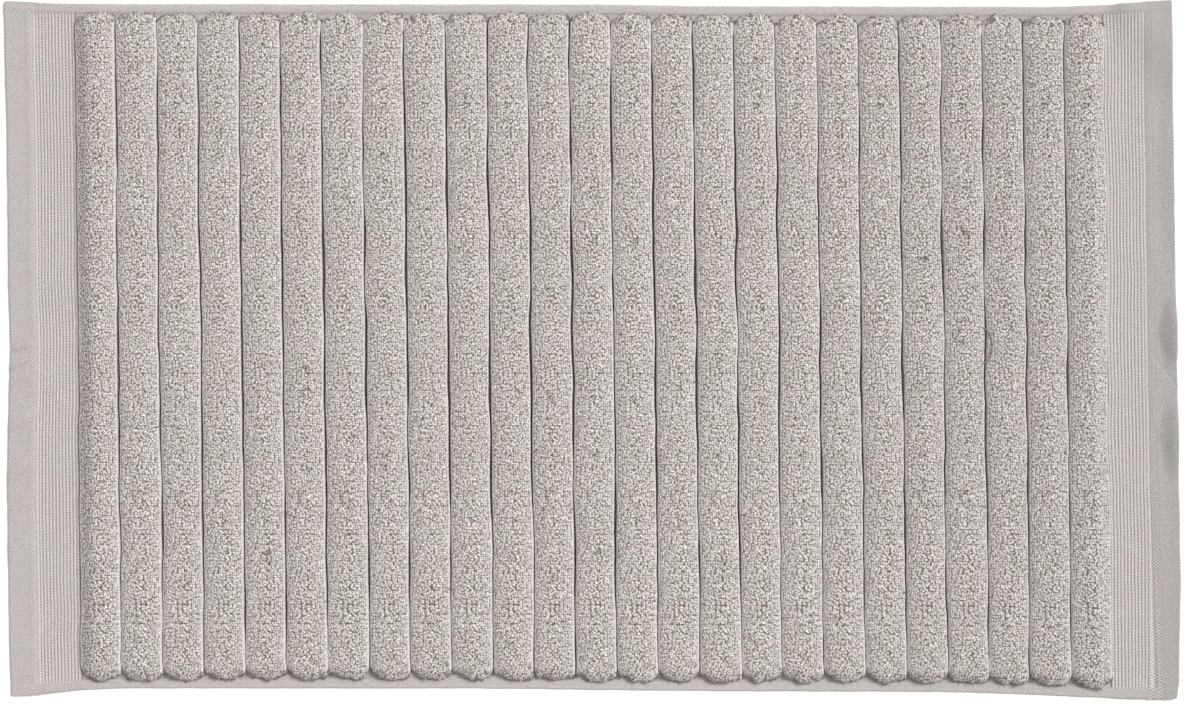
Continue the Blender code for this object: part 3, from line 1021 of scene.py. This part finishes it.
plainStitch = makePlainStitch()
seamTop = cloth["hemMiddle"] + cloth["thickness"] / 2
for side, line, step, body in (("left", leftHemLine, -1, "left_hem"),
                               ("right", rightHemLine, 1, "right_end")):
    acrossPlaces = np.arange(-matHalf + stitches["endInset"], matHalf - stitches["endInset"],
                             stitches["pitch"])
    x = np.full(len(acrossPlaces), line + step * stitches["inset"])
    depth = np.full(len(x), stitches["inset"] / (matEnd - abs(line)))
    z = (seamTop + np.maximum(hemPucker(side, x, acrossPlaces, depth), -0.0006)
         + hems["corner"] * smooth(np.abs(acrossPlaces), 0.2845, 0.2860)
         + endWaves(x, acrossPlaces))
    if side == "right":
        x = x + follow(hems["slant"], acrossPlaces) * (1 - depth)
    spots = layOut(np.stack([x, acrossPlaces, z], axis=1))
    piece = sewRow(f"stitches_{side}", spots, (-leanSlope, 1.0, 0.0), body)
    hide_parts(f"seam_{side}")

for number in ribs:
    middle = ribsStart + (number - 0.5) * ribPitch
    x = middle + (np.arange(stitches["perStrip"]) - (stitches["perStrip"] - 1) / 2) * stitches["pitch"]
    x = np.concatenate([x, x])
    y = np.repeat((-1.0, 1.0), stitches["perStrip"]) * (matHalf - stitches["sideInset"])
    spots = layOut(np.stack([x, y, np.full(len(x), seamTop)], axis=1))
    sewRow(f"side_stitches_{number:02d}", spots, (1.0, 0.0, 0.0), f"strip_{number:02d}")
print("stitching done")

# a pulled yarn that arches over one rib
pulledYarn = {"rib": 23, "thickness": 0.0010,
              "points": ((0.3300, 0.0170, 0.0118), (0.3345, 0.0149, 0.0135), (0.3378, 0.0100, 0.0142),
                         (0.3392, 0.0047, 0.0140), (0.3396, -0.0003, 0.0138), (0.3389, -0.0055, 0.0141),
                         (0.3365, -0.0105, 0.0143), (0.3327, -0.0141, 0.0136), (0.3290, -0.0160, 0.0120))}


def makePulledYarn():
    curve = bpy.data.curves.new("pulled_yarn", "CURVE")
    curve.dimensions = "3D"
    curve.bevel_depth = pulledYarn["thickness"] / 2
    curve.bevel_resolution = 2
    curve.resolution_u = 6
    curve.use_fill_caps = True
    line = curve.splines.new("NURBS")
    line.points.add(len(pulledYarn["points"]) - 1)
    line.use_endpoint_u = True
    for point, place in zip(line.points, pulledYarn["points"]):
        point.co = (*place, 1.0)
    piece = bpy.data.objects.new("pulled_yarn", curve)
    bpy.context.scene.collection.objects.link(piece)
    onlyThis(piece)
    bpy.ops.object.convert(target="MESH")
    piece = bpy.context.active_object
    onlyThis(piece)
    bpy.ops.object.mode_set(mode="EDIT")
    bpy.ops.mesh.select_all(action="SELECT")
    bpy.ops.mesh.remove_doubles(threshold=0.00001)
    bpy.ops.mesh.normals_make_consistent(inside=False)
    bpy.ops.object.mode_set(mode="OBJECT")
    dress(piece, "pile")
    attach(piece, f"strip_{pulledYarn['rib']:02d}")


makePulledYarn()

# floor, light and camera
studio = {"floor": 6.0, "keyPower": 2.82, "keySpread": 18, "keyHeight": 56, "keyTurn": 36, "fill": 0.62,
          "cameraHeight": 2.393, "lens": 85, "aim": (-0.0013, -0.0051)}


def makeStudio():
    deselectAll()
    bpy.ops.mesh.primitive_plane_add(size=studio["floor"], location=(0, 0, -0.0002))
    floor = bpy.context.active_object
    floor.name = "floor"
    paper = bpy.data.materials.new("paleFloor")
    paper.use_nodes = True
    shader = paper.node_tree.nodes["Principled BSDF"]
    shader.inputs["Base Color"].default_value = (0.86, 0.86, 0.86, 1)
    shader.inputs["Roughness"].default_value = 0.9
    floor.data.materials.append(paper)

    key = bpy.data.lights.new("key", "SUN")
    key.energy = studio["keyPower"]
    key.angle = math.radians(studio["keySpread"])
    lamp = bpy.data.objects.new("key", key)
    height, turn = math.radians(studio["keyHeight"]), math.radians(studio["keyTurn"])
    toward = Vector((math.cos(height) * math.cos(turn), math.cos(height) * math.sin(turn), math.sin(height)))
    lamp.rotation_euler = toward.to_track_quat("Z", "Y").to_euler()
    bpy.context.scene.collection.objects.link(lamp)

    world = bpy.data.worlds.new("studio")
    bpy.context.scene.world = world
    world.use_nodes = True
    sky = world.node_tree.nodes["Background"]
    sky.inputs["Color"].default_value = (1, 1, 1, 1)
    sky.inputs["Strength"].default_value = studio["fill"]

    view = bpy.data.cameras.new("camera")
    view.lens = studio["lens"]
    camera = bpy.data.objects.new("camera", view)
    camera.location = (*studio["aim"], studio["cameraHeight"])
    bpy.context.scene.collection.objects.link(camera)
    bpy.context.scene.camera = camera
    bpy.context.scene.view_settings.view_transform = "Standard"


makeStudio()
print("studio ready")
